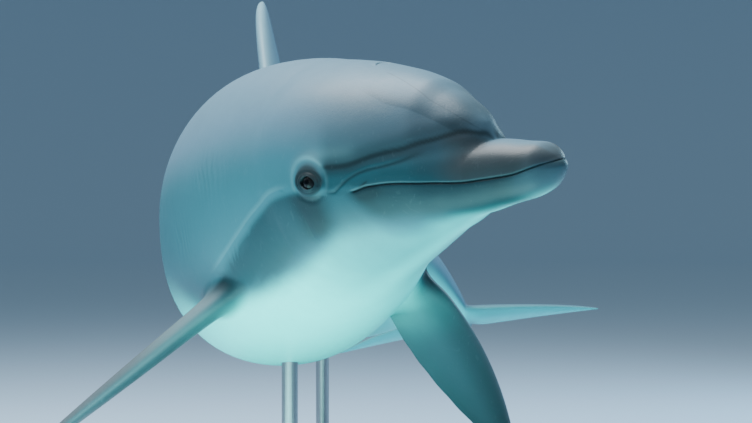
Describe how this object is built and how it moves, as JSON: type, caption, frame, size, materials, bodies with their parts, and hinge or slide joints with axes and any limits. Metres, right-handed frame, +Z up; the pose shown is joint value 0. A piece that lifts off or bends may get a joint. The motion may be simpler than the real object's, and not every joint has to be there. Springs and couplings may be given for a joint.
{
  "type": "bottlenose dolphin display model",
  "caption": "Life-size bottlenose dolphin bent in a left-hand turn, head lifted and flippers spread, as a still museum-style model held over a flat base by upright rods.",
  "frame": {"origin": "centre of the underside of the stand base", "axes": "+Z up; the snout points to -Y and somewhat +X, the tail runs back to +Y; the animal's left side faces +X"},
  "size_m": [1.1798, 2.3444, 1.0635],
  "materials": {
    "skin_head": "smooth wet slate-grey skin of the head and melon",
    "skin_flank": "smooth wet grey skin, fading to pale on the belly",
    "skin_pale": "smooth wet pale skin of the jaw and throat",
    "skin_fin": "smooth wet dark grey skin of the fins",
    "eye": "wet dark brown-black eye",
    "stand_board": "satin black painted board",
    "stand_steel": "brushed steel rod"
  },
  "bodies": {
    "root": {"upper_beak": "skin_head", "lower_jaw": "skin_pale", "head": "skin_head", "neck": "skin_flank", "thorax": "skin_flank", "abdomen": "skin_flank", "tail_stock": "skin_flank", "fluke_left": "skin_fin", "fluke_right": "skin_fin", "dorsal_fin": "skin_fin", "flipper_left": "skin_fin", "flipper_right": "skin_fin", "eye_left": "eye", "eye_right": "eye", "stand_base": "stand_board", "stand_rod_front": "stand_steel", "stand_rod_rear": "stand_steel"}
  },
  "joints": []
}
